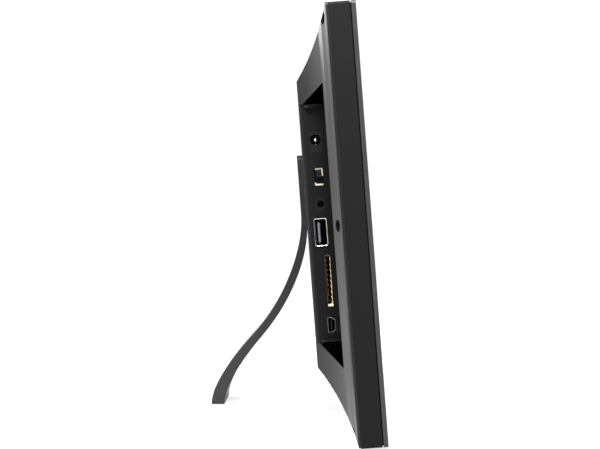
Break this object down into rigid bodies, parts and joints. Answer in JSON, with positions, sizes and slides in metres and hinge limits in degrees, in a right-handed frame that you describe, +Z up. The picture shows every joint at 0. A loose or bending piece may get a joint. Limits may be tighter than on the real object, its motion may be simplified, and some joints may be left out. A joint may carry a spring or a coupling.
{
  "type": "digital photo frame",
  "caption": "Widescreen digital photo frame with a curved swivel stand, coved rear cover, a side recess for sockets and a side recess for keys.",
  "frame": {"origin": "middle of the whole object's footprint, on the surface it stands on", "axes": "+X to the right seen from the screen side, -Y the way the screen faces, +Z up"},
  "size_m": [0.34, 0.0962, 0.2125],
  "materials": {
    "bezel_plastic": "fine satin moulded plastic",
    "band_plastic": "satin moulded plastic",
    "cover_plastic": "fine textured moulded plastic",
    "recess_plastic": "fine textured moulded plastic",
    "key_plastic": "satin moulded plastic",
    "stand_plastic": "fine grained moulded plastic",
    "socket_plastic": "moulded nylon",
    "usb_tongue_plastic": "moulded nylon",
    "plated_steel": "nickel plated",
    "gold_contacts": "gold plated",
    "screw_steel": "zinc plated",
    "tray_steel": "galvanised sheet",
    "circuit_board": "solder resist",
    "chip_resin": "moulded resin",
    "capacitor_sleeve": "shrunk sleeve",
    "sink_aluminium": "extruded",
    "screen_film": "polariser film",
    "guide_acrylic": "clear acrylic with diffuser",
    "led_ceramic": "phosphor on ceramic",
    "ribbon_film": "polyimide film",
    "foot_rubber": "moulded rubber"
  },
  "bodies": {
    "housing": {"front_bezel": "bezel_plastic", "mid_frame": "band_plastic", "rear_cover": "cover_plastic", "port_panel": "recess_plastic", "key_panel": "recess_plastic", "port_floor": "recess_plastic", "key_floor": "recess_plastic", "dc_jack": "socket_plastic", "audio_jack": "socket_plastic", "cell_holder": "socket_plastic", "left_speaker": "socket_plastic", "right_speaker": "socket_plastic", "mini_usb_tongue": "socket_plastic", "usb_tongue": "usb_tongue_plastic", "switch_body": "plated_steel", "usb_shell": "plated_steel", "card_socket": "plated_steel", "mini_usb_shell": "plated_steel", "dc_pin": "plated_steel", "coin_cell": "plated_steel", "wave_washer": "plated_steel", "card_contacts": "gold_contacts", "clamp_screws": "screw_steel", "bezel_screws": "screw_steel", "cover_screws": "screw_steel", "board_screws": "screw_steel", "key_board_screws": "screw_steel", "speaker_screws": "screw_steel", "backlight_tray": "tray_steel", "display_clamps": "tray_steel", "main_board": "circuit_board", "key_board": "circuit_board", "panel_driver_board": "circuit_board", "processor": "chip_resin", "memory_chips": "chip_resin", "tact_switches": "chip_resin", "capacitors": "capacitor_sleeve", "heat_sink": "sink_aluminium", "lcd_panel": "screen_film", "light_guide": "guide_acrylic", "led_strip": "led_ceramic", "display_cable": "ribbon_film", "key_cable": "ribbon_film"},
    "stand": {"stand_leg": "stand_plastic", "foot_pad": "foot_rubber", "hub_retainer": "plated_steel", "hub_screws": "screw_steel"},
    "switch_knob": {"switch_knob": "socket_plastic"},
    "power_key": {"power_key": "key_plastic"},
    "menu_key": {"menu_key": "key_plastic"},
    "up_key": {"up_key": "key_plastic"},
    "enter_key": {"enter_key": "key_plastic"},
    "down_key": {"down_key": "key_plastic"},
    "back_key": {"back_key": "key_plastic"},
    "slideshow_key": {"slideshow_key": "key_plastic"}
  },
  "joints": [
    {"name": "stand_swivel", "type": "hinge", "parent": "housing", "child": "stand", "pos_m": [0, -0.0076, 0.12841], "axis": [0, -0.9973, 0.0739], "range_deg": [0, 90]},
    {"name": "power_switch_slide", "type": "slide", "parent": "housing", "child": "switch_knob", "axis": [0, 0.0739, 0.9973], "range_m": [-0.003, 0]},
    {"name": "power_key_press", "type": "slide", "parent": "housing", "child": "power_key", "axis": [-1, 0, 0], "range_m": [0, 0.0005], "stiffness_N_per_m": 800},
    {"name": "menu_key_press", "type": "slide", "parent": "housing", "child": "menu_key", "axis": [-1, 0, 0], "range_m": [0, 0.0005], "stiffness_N_per_m": 800},
    {"name": "up_key_press", "type": "slide", "parent": "housing", "child": "up_key", "axis": [-1, 0, 0], "range_m": [0, 0.0005], "stiffness_N_per_m": 800},
    {"name": "enter_key_press", "type": "slide", "parent": "housing", "child": "enter_key", "axis": [-1, 0, 0], "range_m": [0, 0.0005], "stiffness_N_per_m": 800},
    {"name": "down_key_press", "type": "slide", "parent": "housing", "child": "down_key", "axis": [-1, 0, 0], "range_m": [0, 0.0005], "stiffness_N_per_m": 800},
    {"name": "back_key_press", "type": "slide", "parent": "housing", "child": "back_key", "axis": [-1, 0, 0], "range_m": [0, 0.0005], "stiffness_N_per_m": 800},
    {"name": "slideshow_key_press", "type": "slide", "parent": "housing", "child": "slideshow_key", "axis": [-1, 0, 0], "range_m": [0, 0.0005], "stiffness_N_per_m": 800}
  ]
}
